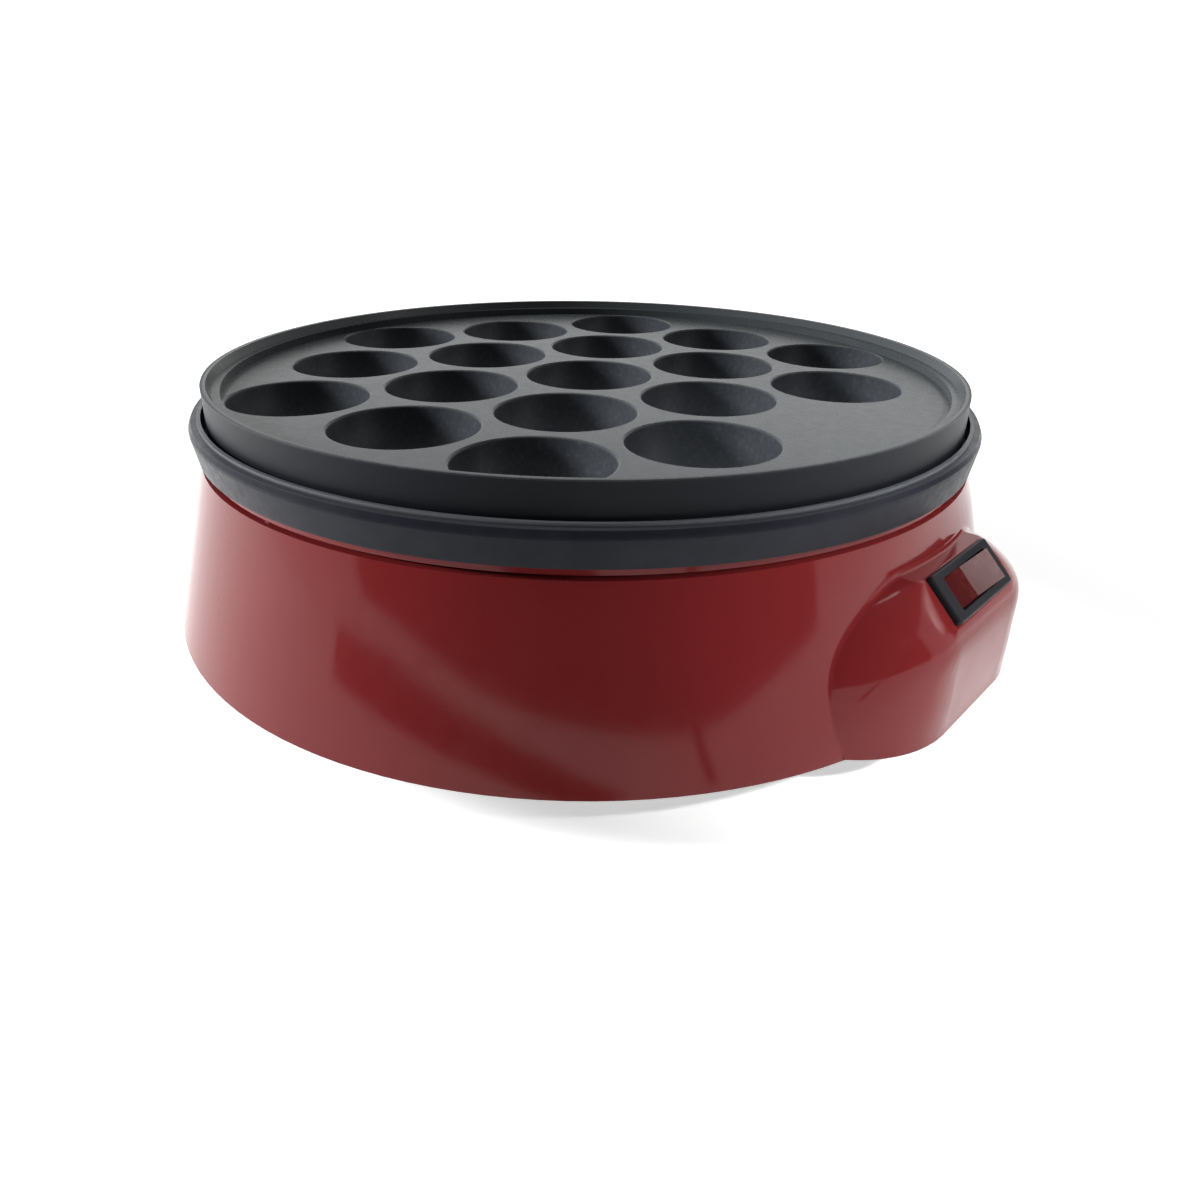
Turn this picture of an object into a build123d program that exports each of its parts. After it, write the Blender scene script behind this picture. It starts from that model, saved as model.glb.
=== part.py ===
"""Electric takoyaki maker: a round counter-top cooker with a cast plate of half-ball cups,
a black collar, a glossy flared body and an illuminated rocker switch on a front bulge.

Frame: millimetres, +Z up, the counter is z = 0, the drum's axis is x = y = 0 and the switch
faces -Y. Every sub-part is one STEP file in parts/.
"""
from build123d import *
import os
from math import cos, hypot, pi, radians, sin, sqrt, tan

os.makedirs("parts", exist_ok=True)

# ---------------------------------------------------------------- driving dimensions
# overall
overall_height = 85.0
fit_gap = 0.35                  # clearance between curved faces that must not touch
seat_gap = 0.1                  # radial clearance of a screw in its hole
overcut = 1.0                   # how far a cutter runs past the face it opens
pick_band = 0.01                # half width of the band in which edges are picked

# cast cooking plate: two rings of cups about a middle one
cup_pitch = 46.0
cup_mouth_radius = 20.4
cup_depth = 17.5
cup_wall = 2.3
cup_lip = 0.8                   # rounding of each cup's mouth
cup_reach = 2.1                 # cups lie within this many pitches of the axis
plate_margin = 5.9              # from the outer cups' mouths to the rim's outer face
plate_rim_height = 4.9          # rim top above the cooking face
plate_rim_width = 1.5
plate_wall = 2.6
plate_thickness = 3.2
ledge_inset = 2.6               # step's edge inside the rim's outer face
ledge_height = 2.4
ledge_width = 2.4
plate_turn = 3.5                # degrees that the cup lattice is turned against the bulge

# collar, set out from the plate's rim
collar_drop = 9.0               # collar's lip below the rim's top
collar_height = 10.4
collar_lip_gap = 1.3            # lip's inner edge outside the rim
collar_lip_width = 1.0
collar_lip_height = 0.9
collar_lip_flare = 0.2          # lip's foot wider than its top
collar_top_stand = 4.1          # outer faces of the collar outside the rim
collar_bulge_stand = 5.0
collar_base_stand = 3.6
collar_bulge_drop = 2.6         # widest level below the lip
collar_ledge_inset = 6.7        # ledge's inner edge inside the rim's outer face
collar_ledge_thickness = 4.2
collar_rounding = 1.6

# body shell
body_flare = 13.6               # base radius over shoulder radius
body_wall = 2.4
shoulder_stand = 3.1            # shoulder outside the plate's rim
shoulder_fall = 0.3             # slant of the shoulder's top face
neck_inset = 1.0
neck_height = 3.0
neck_groove_depth = 1.3
neck_groove_height = 0.9
flange_inset = 4.1              # flange's inner edge inside the plate's rim
flange_thickness = 2.6

# switch bulge on the body
bulge_stand = 6.0               # flat face in front of the body's base
bulge_half_width = 52.0
bulge_flat = 18.0               # half width of the flat front
bulge_top_drop = 8.0            # top of the bulge's arch below the shoulder
bulge_arch_power = 2.5          # 2 is an ellipse, more is squarer
bulge_front_rounding = 12.0
bulge_plans = 10                # plans that the bulge is lofted through, less one
bulge_flat_share = 0.96         # lofted part of the arch, up to its flat top
bulge_top_rounding = 2.4        # top edge of the bulge
bulge_depth = 50.0              # how far the bulge's block reaches into the drum
bulge_crown = 0.4               # how far the rounded top stands over the switch seat
bulge_blend = 1.5               # rounding of the valley between bulge and drum
facet_angle = 45.0
facet_setback = 7.7             # switch seat behind the bulge's face
facet_drop = 14.7               # switch seat below the shoulder

# columns, screws and feet
column_count = 6
column_inset = 8.4              # column axis inside the shoulder
column_diameter = 9.0
column_rib = 2.0
column_rib_rise = 5.0           # rib's foot above the cover's flange
screw_diameter = 3.5
screw_head_diameter = 6.5
screw_head_height = 2.2
screw_reach = 9.0               # shank inside the column
cross_length = 0.75             # cross recess over the head's diameter
cross_width = 0.16
collar_screw_diameter = 2.6
collar_screw_head = 4.4
collar_screw_land = 2.4         # screw axis outside the flange's inner edge
collar_screw_reach = 3.0
foot_height = 6.5
foot_diameter = 18.0
foot_rounding = 1.2
foot_inset = 25.0               # foot axis inside the dish's edge
foot_plug_diameter = 8.0
foot_plug_height = 4.0

# base cover
cover_thickness = 2.4
cover_inset = 4.0               # flange's edge inside the body's base
dish_gap = 3.5                  # from a column to the dish's outer edge
dish_chamfer = 1.5
cover_depth = 6.0               # depth of the dish under the body's edge
vent_length = 26.0
vent_width = 3.2
vent_inner_radius = 44.0
vent_inner_count = 6
vent_outer_radius = 74.0
vent_outer_count = 10

# reflector pan
pan_inset = 6.2                 # pan's wall inside the flange's inner edge
pan_gap = 11.0                  # pan's floor below the element's axis
pan_sheet = 0.8
pan_flange_width = 5.5
pan_corner = 6.0
pan_stud_diameter = 9.0
plate_screw_diameter = 4.0

# heating element
element_shift = 1.34            # ring inside the middle between the two rings of cups
element_tube = 6.6
element_rise = 0.7              # element's axis over the cups' undersides
element_leg_spread = 24.0
element_bend = 14.0
element_leg_inset = 3.0         # leg's end inside the pan's wall
pin_diameter = 2.4
pin_length = 9.0
seal_diameter = 5.4
seal_length = 2.5
clamp_heel = 5.5                # strap behind the post's axis
clamp_hook = 4.0
clamp_width = 11.0
clamp_sheet = 1.2
post_diameter = 9.0
post_circle_share = 2.0         # post circle over the lattice's triangle radius

# thermostat and fuse
thermostat_diameter = 16.0
thermostat_height = 7.5
thermostat_rim = 1.2
thermostat_step = 1.2           # body's radius inside the rim's
thermostat_flange = 25.0
thermostat_screw_pitch = 20.0
thermostat_boss = 5.0
thermostat_screw = 2.5
thermostat_screw_head = 3.75
thermostat_head_height = 1.4
thermostat_screw_reach = 3.0
blade_width = 4.8
blade_thickness = 0.8
blade_length = 8.0
blade_offset = 3.6
fuse_diameter = 4.0
fuse_length = 14.0
fuse_wire = 1.2
fuse_wire_length = 8.0
fuse_stand = 1.4                # fuse above the pan's floor
fuse_clip_length = 6.0
fuse_clip_width = 8.0
fuse_clip_roof = 1.2
fuse_place_x = 32.0
fuse_place_y = -72.0

# rocker switch
bezel_length = 35.0
bezel_width = 14.2
bezel_thickness = 2.0
bezel_corner = 1.2
bezel_rounding = 0.7
window_length = 26.0
window_width = 9.6
barrel_length = 31.0
barrel_width = 11.8
barrel_depth = 19.0
barrel_floor = 4.0
cutout_gap = 0.3
pivot_depth = 3.5               # pivot below the facet
pivot_diameter = 3.0
pivot_gap = 0.05
rocker_length = 23.6
rocker_width = 8.9
rocker_angle = 8.0              # degrees either side of the middle
rocker_crease = 4.2             # crease height over the pivot
rocker_skirt = 1.5
rocker_skin = 1.1
plunger_diameter = 3.0
plunger_head = 1.2              # plunger's top below the pivot
plunger_tip = 8.4               # tip below the pivot
plunger_sleeve = 4.8
sleeve_end = 3.4                # sleeve's end below the pivot
spring_wire = 0.35
spring_turns = 5
arm_length = 18.0
arm_width = 4.0
arm_sheet = 0.8
arm_tilt = 4.0
arm_depth = 12.8                # arm centre below the facet
rivet_diameter = 2.4
rivet_height = 0.6
rivet_inset = 1.4               # rivet's axis from the arm's end
contact_rise = 0.5              # fixed contacts above the barrel's floor
contact_sheet = 0.5
terminal_pitch = 11.0
terminal_length = 10.0
lamp_diameter = 3.0
lamp_length = 7.0
lamp_depth = 9.0                # lamp's axis below the facet
saddle_width = 2.4
saddle_length = 4.0

# cord bush, clamp and terminal block
bush_rise = 4.45                # bush above the middle between cover and pan
bush_bore = 7.0
bush_neck = 12.0
bush_flange = 17.0
bush_flange_thickness = 3.0
bush_chamfer = 0.8
bush_lip = 2.5                  # flange inside the wall
bush_cone = 6.0                 # tapered nose outside the flange
bush_nose_wall = 1.6
bush_pad_stand = 2.7            # pad's face outside the flared wall
bush_pad_diameter = 24.0
bush_pad_wall = 2.6
bush_pad_depth = 8.0
cord_clamp_inset = 32.0         # clamp inside the bush's seat
cord_clamp_width = 26.0
cord_clamp_depth = 9.0
cord_clamp_bar = 6.0
cord_clamp_corner = 1.5
clamp_screw_inset = 4.0         # screw's axis from the clamp's end
cord_groove = 7.4
block_inset = 30.0              # block inside the clamp
block_length = 36.0
block_depth = 18.0
block_height = 15.0
block_corner = 0.8
block_poles = 3
block_pitch = 11.0
block_bore = 4.2
block_screw_pitch = 8.0
block_screw_well = 3.2
block_screw = 2.0
block_screw_head = 3.0
block_screw_head_height = 1.2
block_screw_drop = 1.6          # heads below the block's top
block_mount_hole = 2.5
insert_wall = 0.7
insert_setback = 2.0            # insert's end inside the block's face

# internal leads
lead_diameter = 2.4
lead_bend = 30.0                # largest bend radius
lead_bend_share = 0.45          # of the shorter run beside a bend
lead_height = 6.0               # leads above the cover
live_run = 11.0                 # straight out of the block
live_back_x = 5.0
live_back_y = 8.0
live_front_x = 3.0
live_front_y = 52.0
heater_shift = 0.5              # at the pin: to the right, back and down
heater_back = 0.6
heater_drop = 13.0
heater_high_x = 10.0            # upper bend from the switch tab
heater_high_y = 9.0
heater_high_z = 4.5
heater_low_x = 8.0              # lower bend from the switch tab
heater_low_y = 19.0
heater_low_z = 7.0
heater_run = 12.0
neutral_shift = 0.4             # at the pin: to the left, back and down
neutral_back = 2.0
neutral_drop = 13.0
neutral_low_x = 9.0             # lower bend from the pin
neutral_low_y = 21.5
neutral_low_z = 32.0
neutral_floor_x = 22.0
neutral_floor_y = 40.0
neutral_run = 20.0
neutral_sag = 1.0
earth_back = 2.0
earth_drop = 15.0
earth_floor_x = 22.0
earth_floor_y = 38.0
earth_run = 10.0
boot_width = 6.4
boot_length = 9.0
boot_thickness = 2.6
boot_roof = 1.0                 # boot past the blade's end
pin_sleeve = 3.8
pin_sleeve_length = 6.0
earth_x = 30.0
earth_y = 20.0
earth_blade = 10.0

# ---------------------------------------------------------------- derived levels and radii
cook_level = overall_height - plate_rim_height
collar_top = overall_height - collar_drop
collar_base = collar_top - collar_height
shoulder_level = collar_base - neck_height
plate_foot = collar_base + collar_ledge_thickness
plate_under = cook_level - plate_thickness
cup_ball = (cup_mouth_radius**2 + cup_depth**2) / (2 * cup_depth)
cup_centre = cook_level - cup_depth + cup_ball
element_level = cook_level - cup_depth - cup_wall + element_rise
element_under = element_level - element_tube / 2
pan_floor_level = element_level - pan_gap
pan_flange_level = collar_base
column_top = collar_base - flange_thickness
body_edge_level = foot_height + cover_depth
cover_floor = foot_height
cover_top = cover_floor + cover_thickness
facet_level = shoulder_level - facet_drop
bulge_top = shoulder_level - bulge_top_drop
bush_level = (cover_top + pan_floor_level - pan_sheet) / 2 + bush_rise
lead_level = cover_top + lead_height

plate_rim_radius = 2 * cup_pitch + cup_mouth_radius + plate_margin
ledge_radius = plate_rim_radius - ledge_inset
collar_lip_radius = plate_rim_radius + collar_lip_gap
collar_lip_foot = collar_lip_radius + collar_lip_width + collar_lip_flare
collar_top_radius = plate_rim_radius + collar_top_stand
collar_bulge_radius = plate_rim_radius + collar_bulge_stand
collar_base_radius = plate_rim_radius + collar_base_stand
collar_ledge_radius = plate_rim_radius - collar_ledge_inset
shoulder_radius = plate_rim_radius + shoulder_stand
neck_radius = shoulder_radius - neck_inset
body_base_radius = shoulder_radius + body_flare
cone_slope = body_flare / (shoulder_level - body_edge_level)
flange_inner_radius = plate_rim_radius - flange_inset
collar_screw_circle = flange_inner_radius + collar_screw_land
pan_radius = flange_inner_radius - pan_inset
column_circle = shoulder_radius - column_inset
cover_dish_radius = column_circle + column_diameter / 2 + dish_gap
cover_flange_radius = body_base_radius - cover_inset
foot_circle = cover_dish_radius - foot_inset
bulge_front = body_base_radius + bulge_stand
facet_radius = bulge_front - facet_setback
post_circle = post_circle_share * cup_pitch / sqrt(3)
element_radius = cup_pitch * (1 + sqrt(3)) / 2 - element_shift
element_leg_reach = pan_radius - element_leg_inset
bush_seat = shoulder_radius + (shoulder_level - bush_level) * cone_slope + bush_pad_stand
cord_clamp_radius = bush_seat - cord_clamp_inset
block_radius = cord_clamp_radius - block_inset


def on_plate(x, y):
    """A point of the plate's own lattice, turned into the drum's frame."""
    turn = radians(plate_turn)
    return (x * cos(turn) - y * sin(turn), x * sin(turn) + y * cos(turn))


def plate_polar(radius, angle):
    """The same for a radius and an angle on the plate, in degrees."""
    return on_plate(radius * cos(radians(angle)), radius * sin(radians(angle)))


def plate_plane(level):
    """A horizontal plane that is turned with the plate."""
    turn = radians(plate_turn)
    return Plane(origin=(0, 0, level), x_dir=(cos(turn), sin(turn), 0), z_dir=(0, 0, 1))


def cup_places():
    """Centres of the cups: two rings of a hexagonal lattice without the one by the switch."""
    row = cup_pitch * sqrt(3) / 2
    places = []
    for column in range(-2, 3):
        for step in range(-2, 3):
            x = column * row
            y = (step + (column % 2) / 2) * cup_pitch
            inside = hypot(x, y) < cup_reach * cup_pitch
            by_switch = column == 0 and step == -2
            if inside and not by_switch:
                places.append(on_plate(x, y))
    return places


def save(piece, label):
    """Label a finished sub-part and write its STEP file."""
    piece.part.label = label
    export_step(piece.part, "parts/" + label + ".step")


# ---------------------------------------------------------------- cooking plate
stud_angles = (60, 180, 300)
clamp_angles = (0, 120, 240)
thermostat_place = on_plate(0, -2 * cup_pitch)
thermostat_top = plate_under - thermostat_boss

with BuildPart() as plate:
    with BuildSketch(Plane.XY.offset(plate_under)):
        Circle(plate_rim_radius - plate_wall / 2)
    extrude(amount=plate_thickness)
    with Locations(*[(x, y, cup_centre) for x, y in cup_places()]):
        Sphere(cup_ball + cup_wall)
    with BuildSketch(Plane.XY.offset(cook_level)):
        Circle(plate_rim_radius)
    extrude(amount=2 * cup_ball, mode=Mode.SUBTRACT)
    with BuildSketch(Plane.XZ):
        with BuildLine():
            Polyline(
                (plate_rim_radius, plate_foot),
                (plate_rim_radius, overall_height),
                (plate_rim_radius - plate_rim_width, overall_height),
                (ledge_radius, cook_level + ledge_height),
                (ledge_radius - ledge_width, cook_level + ledge_height),
                (ledge_radius - ledge_width, plate_under),
                (plate_rim_radius - plate_wall, plate_under),
                (plate_rim_radius - plate_wall, plate_foot),
                (plate_rim_radius, plate_foot),
            )
        make_face()
    revolve(axis=Axis.Z)
    with BuildSketch(Plane.XY.offset(plate_under)):
        with Locations(*[plate_polar(post_circle, angle) for angle in stud_angles]):
            Circle(pan_stud_diameter / 2)
    extrude(amount=pan_floor_level - plate_under)
    with BuildSketch(Plane.XY.offset(plate_under)):
        with Locations(*[plate_polar(post_circle, angle) for angle in clamp_angles]):
            Circle(post_diameter / 2)
    extrude(amount=element_under - fit_gap - plate_under)
    with BuildSketch(Plane.XY.offset(plate_under)):
        with Locations(thermostat_place):
            Circle(thermostat_flange / 2)
    extrude(amount=-thermostat_boss)
    with Locations(*[(x, y, cup_centre) for x, y in cup_places()]):
        Sphere(cup_ball, mode=Mode.SUBTRACT)
    with BuildSketch(Plane.XY.offset(pan_floor_level)):
        with Locations(*[plate_polar(post_circle, angle) for angle in stud_angles]):
            Circle(plate_screw_diameter / 2 + seat_gap)
    extrude(amount=screw_reach + overcut, mode=Mode.SUBTRACT)
    with BuildSketch(Plane.XY.offset(element_under - fit_gap)):
        with Locations(*[plate_polar(post_circle, angle) for angle in clamp_angles]):
            Circle(collar_screw_diameter / 2 + seat_gap)
    extrude(amount=screw_reach, mode=Mode.SUBTRACT)
    with BuildSketch(plate_plane(thermostat_top)):
        with Locations(
            (-thermostat_screw_pitch / 2, -2 * cup_pitch),
            (thermostat_screw_pitch / 2, -2 * cup_pitch),
        ):
            Circle(thermostat_screw / 2 + seat_gap)
    extrude(amount=thermostat_screw_reach + fit_gap, mode=Mode.SUBTRACT)
    mouths = plate.edges().filter_by(GeomType.CIRCLE).filter_by_position(
        Axis.Z, cook_level - pick_band, cook_level + pick_band
    )
    fillet([edge for edge in mouths if abs(edge.radius - cup_mouth_radius) < pick_band], cup_lip)
save(plate, "baking_plate")

# ---------------------------------------------------------------- collar
with BuildPart() as collar:
    with BuildSketch(Plane.XZ):
        with BuildLine():
            Polyline(
                (collar_ledge_radius, collar_base),
                (collar_base_radius, collar_base),
                (collar_bulge_radius, collar_top - collar_bulge_drop),
                (collar_top_radius, collar_top - collar_lip_height),
                (collar_lip_foot, collar_top - collar_lip_height),
                (collar_lip_radius + collar_lip_width, collar_top),
                (collar_lip_radius, collar_top),
                (collar_lip_radius, plate_foot),
                (collar_ledge_radius, plate_foot),
                (collar_ledge_radius, collar_base),
            )
        make_face()
    revolve(axis=Axis.Z)
    shoulder = collar.edges().filter_by(GeomType.CIRCLE).sort_by(lambda edge: edge.radius)[-1]
    fillet(shoulder, collar_rounding)
    with BuildSketch(Plane.XY.offset(collar_base)):
        with PolarLocations(collar_screw_circle, column_count, start_angle=180 / column_count):
            Circle(collar_screw_diameter / 2 + seat_gap)
    extrude(amount=collar_screw_reach + fit_gap, mode=Mode.SUBTRACT)
save(collar, "collar_ring")

# ---------------------------------------------------------------- body shell
def body_radius(level):
    """Outer radius of the flared wall."""
    return shoulder_radius + (shoulder_level - level) * cone_slope


facet_sum = facet_level + facet_radius     # z - y on the switch facet


def on_flare(edge):
    """Whether an edge is where the bulge meets the flared wall."""
    points = [edge @ 0.2, edge @ 0.5, edge @ 0.8]
    near = [abs(hypot(p.X, p.Y) - body_radius(p.Z)) < 0.1 for p in points]
    return all(near) and all(abs(p.X) < bulge_half_width and p.Y < 0 for p in points)


def bulge_reach(level, inset):
    """Distance of the bulge's front from the axis: flat below, rounded, then sloped."""
    front = bulge_front - inset
    total = facet_sum + (bulge_crown - inset) * sqrt(2)
    centre_reach = front - bulge_front_rounding
    centre_level = total - centre_reach - bulge_front_rounding * sqrt(2)
    if level <= centre_level:
        return front
    if level <= centre_level + bulge_front_rounding / sqrt(2):
        return centre_reach + sqrt(bulge_front_rounding**2 - (level - centre_level) ** 2)
    return total - level


def bulge_block(inset, bottom, rounding=0):
    """The bulge as a loft of round-cornered plans, drawn in by inset on every side."""
    arch = bulge_top - body_edge_level - inset
    half = bulge_half_width - inset
    top = body_edge_level + bulge_flat_share * arch
    with BuildPart() as block:
        for index in range(bulge_plans + 1):
            level = bottom + (top - bottom) * sin(pi / 2 * index / bulge_plans)
            rise = max(level - body_edge_level, 0) / arch
            width = half * (1 - rise**bulge_arch_power) ** (1 / bulge_arch_power)
            reach = bulge_reach(level, inset)
            corner = width - bulge_flat + inset
            with BuildSketch(Plane.XY.offset(level)):
                with BuildLine():
                    back = Line(
                        (-width, -(bulge_front - bulge_depth)), (-width, corner - reach)
                    )
                    left = RadiusArc(back @ 1, (corner - width, -reach), -corner)
                    front = Line(left @ 1, (width - corner, -reach))
                    right = RadiusArc(front @ 1, (width, corner - reach), -corner)
                    side = Line(right @ 1, (width, -(bulge_front - bulge_depth)))
                    Line(side @ 1, back @ 0)
                make_face()
        loft()
        if rounding > 0:
            rim = block.faces().sort_by(Axis.Z)[-1].edges().sort_by(Axis.Y)
            fillet(rim[:-1], rounding)
    return block


facet_plane = Plane(
    origin=(0, -facet_radius, facet_level),
    x_dir=(1, 0, 0),
    z_dir=(0, -sin(radians(facet_angle)), cos(radians(facet_angle))),
)


def radial_plane(angle):
    """The upright plane through the drum's axis at an angle: x is the radius, y is the height."""
    turn = radians(angle)
    return Plane(origin=(0, 0, 0), x_dir=(cos(turn), sin(turn), 0), z_dir=(sin(turn), -cos(turn), 0))


bush_plane = Plane(origin=(0, bush_seat, bush_level), x_dir=(-1, 0, 0), z_dir=(0, 1, 0))
rib_foot = body_edge_level + cover_thickness + column_rib_rise
cut_foot = body_edge_level - overcut
bulge_outer = bulge_block(0, body_edge_level, bulge_top_rounding)
bulge_inner = bulge_block(body_wall, cut_foot)
column_angles = [360 / column_count * index for index in range(column_count)]

with BuildPart() as body:
    with BuildSketch(Plane.XZ):
        with BuildLine():
            Polyline(
                (0, body_edge_level),
                (body_base_radius, body_edge_level),
                (shoulder_radius, shoulder_level),
                (neck_radius - neck_groove_depth, shoulder_level + shoulder_fall),
                (neck_radius - neck_groove_depth, shoulder_level + neck_groove_height),
                (neck_radius, shoulder_level + neck_groove_height),
                (neck_radius, collar_base),
                (0, collar_base),
                (0, body_edge_level),
            )
        make_face()
    revolve(axis=Axis.Z)
    add(bulge_outer.part)
    fillet([edge for edge in body.edges() if on_flare(edge)], bulge_blend)
    with BuildSketch(facet_plane):
        Rectangle(bezel_length + 2 * cutout_gap, bezel_width + 2 * cutout_gap)
    extrude(amount=bezel_thickness, mode=Mode.SUBTRACT)
    with BuildSketch(Plane.XZ):
        with BuildLine():
            Polyline(
                (0, cut_foot),
                (body_radius(cut_foot) - body_wall, cut_foot),
                (shoulder_radius - body_wall, column_top),
                (flange_inner_radius, column_top),
                (flange_inner_radius, collar_base + overcut),
                (0, collar_base + overcut),
                (0, cut_foot),
            )
        make_face()
    revolve(axis=Axis.Z, mode=Mode.SUBTRACT)
    add(bulge_inner.part, mode=Mode.SUBTRACT)
    # columns for the base screws, each with a rib to the wall
    with BuildSketch(Plane.XY.offset(cover_top)):
        with PolarLocations(column_circle, column_count):
            Circle(column_diameter / 2)
    extrude(amount=column_top - cover_top)
    for angle in column_angles:
        with BuildSketch(radial_plane(angle)):
            with BuildLine():
                Polyline(
                    (column_circle, rib_foot),
                    (body_radius(rib_foot) - body_wall / 2, rib_foot),
                    (body_radius(column_top) - body_wall / 2, column_top),
                    (column_circle, column_top),
                    (column_circle, rib_foot),
                )
            make_face()
        extrude(amount=column_rib / 2, both=True)
    with BuildSketch(Plane.XY.offset(cover_top)):
        with PolarLocations(column_circle, column_count):
            Circle(screw_diameter / 2 + seat_gap)
    extrude(amount=screw_reach + overcut, mode=Mode.SUBTRACT)
    with BuildSketch(Plane.XY.offset(column_top)):
        with PolarLocations(collar_screw_circle, column_count, start_angle=180 / column_count):
            Circle(collar_screw_diameter / 2 + seat_gap)
    extrude(amount=flange_thickness, mode=Mode.SUBTRACT)
    # seat of the cord bush
    with BuildSketch(bush_plane):
        Circle(bush_pad_diameter / 2)
    extrude(amount=-bush_pad_depth)
    with BuildSketch(bush_plane.offset(-bush_pad_wall)):
        Circle(bush_pad_diameter / 2 - body_wall)
    extrude(amount=-bush_pad_depth, mode=Mode.SUBTRACT)
    with BuildSketch(bush_plane):
        Circle(bush_neck / 2 + seat_gap)
    extrude(amount=-bush_pad_depth, mode=Mode.SUBTRACT)
    # cut-out of the switch
    with BuildSketch(facet_plane):
        Rectangle(barrel_length + 2 * cutout_gap, barrel_width + 2 * cutout_gap)
    extrude(amount=-4 * body_wall, mode=Mode.SUBTRACT)
save(body, "body_shell")

# ---------------------------------------------------------------- base cover and feet
foot_places = [
    (foot_circle * cos(radians(angle)), foot_circle * sin(radians(angle)))
    for angle in (45, 135, 225, 315)
]
foot_names = ("back_right", "back_left", "front_left", "front_right")
outer_vent_step = 360 / vent_outer_count
clamp_top = bush_level + cord_clamp_bar
clamp_screw_place = cord_clamp_width / 2 - clamp_screw_inset

with BuildPart() as cover:
    with BuildSketch(Plane.XZ):
        with BuildLine():
            Polyline(
                (0, cover_floor),
                (cover_dish_radius - dish_chamfer, cover_floor),
                (cover_dish_radius, cover_floor + dish_chamfer),
                (cover_dish_radius, body_edge_level),
                (cover_flange_radius, body_edge_level),
                (cover_flange_radius, body_edge_level + cover_thickness),
                (cover_dish_radius - cover_thickness, body_edge_level + cover_thickness),
                (cover_dish_radius - cover_thickness, cover_top),
                (0, cover_top),
                (0, cover_floor),
            )
        make_face()
    revolve(axis=Axis.Z)
    with BuildSketch(Plane.XY.offset(cover_top)):
        with Locations((0, cord_clamp_radius)):
            Rectangle(cord_clamp_width, cord_clamp_depth)
    extrude(amount=bush_level - cover_top)
    with BuildSketch(Plane.XZ.offset(-cord_clamp_radius - cord_clamp_depth)):
        with Locations((0, bush_level)):
            Circle(cord_groove / 2)
    extrude(amount=3 * cord_clamp_depth, mode=Mode.SUBTRACT)
    with BuildSketch(Plane.XY.offset(bush_level)):
        with Locations((-clamp_screw_place, cord_clamp_radius), (clamp_screw_place, cord_clamp_radius)):
            Circle(collar_screw_diameter / 2 + seat_gap)
    extrude(amount=-screw_reach, mode=Mode.SUBTRACT)
    with BuildSketch(Plane.XY.offset(cover_floor)):
        with PolarLocations(vent_inner_radius, vent_inner_count):
            SlotOverall(vent_length, vent_width, rotation=90)
        with PolarLocations(
            vent_outer_radius,
            vent_outer_count - 1,
            start_angle=90 + outer_vent_step,
            angular_range=360 - 2 * outer_vent_step,
            endpoint=True,
        ):
            SlotOverall(vent_length, vent_width, rotation=90)
        with PolarLocations(column_circle, column_count):
            Circle(screw_diameter / 2 + seat_gap)
        with Locations(*foot_places):
            Circle(foot_plug_diameter / 2 + seat_gap)
    extrude(amount=cover_thickness, mode=Mode.SUBTRACT)
    with BuildSketch(Plane.XY.offset(cover_floor)):
        with PolarLocations(column_circle, column_count):
            Circle(screw_head_diameter / 2 + fit_gap)
    extrude(amount=cover_thickness / 2, mode=Mode.SUBTRACT)
save(cover, "base_cover")

for name, (x, y) in zip(foot_names, foot_places):
    with BuildPart() as foot:
        with BuildSketch(Plane.XY):
            with Locations((x, y)):
                Circle(foot_diameter / 2)
        extrude(amount=foot_height)
        fillet(foot.edges().group_by(Axis.Z)[0], foot_rounding)
        with BuildSketch(Plane.XY.offset(foot_height)):
            with Locations((x, y)):
                Circle(foot_plug_diameter / 2)
        extrude(amount=foot_plug_height)
    save(foot, "foot_" + name)


def screws(places, seat, diameter, head, head_height, reach, up=1):
    """Cross-headed screws: seat is the face under the head, up is 1 or -1."""
    with BuildPart() as set_of_screws:
        with BuildSketch(Plane.XY.offset(seat)):
            with Locations(*places):
                Circle(head / 2)
        extrude(amount=-up * head_height)
        with BuildSketch(Plane.XY.offset(seat)):
            with Locations(*places):
                Circle(diameter / 2)
        extrude(amount=up * reach)
        with BuildSketch(Plane.XY.offset(seat - up * head_height)):
            with Locations(*places):
                Rectangle(cross_length * head, cross_width * head)
                Rectangle(cross_width * head, cross_length * head)
        extrude(amount=up * head_height / 2, mode=Mode.SUBTRACT)
    return set_of_screws


def polar_places(radius, count, start):
    """Points on a circle about the drum's axis."""
    angles = [radians(start + 360 / count * index) for index in range(count)]
    return [(radius * cos(angle), radius * sin(angle)) for angle in angles]


head_seat = cover_floor + cover_thickness / 2
save(
    screws(
        polar_places(column_circle, column_count, 0),
        head_seat,
        screw_diameter,
        screw_head_diameter,
        screw_head_height,
        cover_top - head_seat + screw_reach,
    ),
    "base_screws",
)
save(
    screws(
        polar_places(collar_screw_circle, column_count, 180 / column_count),
        column_top,
        collar_screw_diameter,
        collar_screw_head,
        screw_head_height,
        flange_thickness + collar_screw_reach,
    ),
    "collar_screws",
)

# ---------------------------------------------------------------- reflector pan
pan_slant = pan_sheet * (sqrt(2) - 1)
stud_places = [plate_polar(post_circle, angle) for angle in stud_angles]
clamp_places = [plate_polar(post_circle, angle) for angle in clamp_angles]

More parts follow.
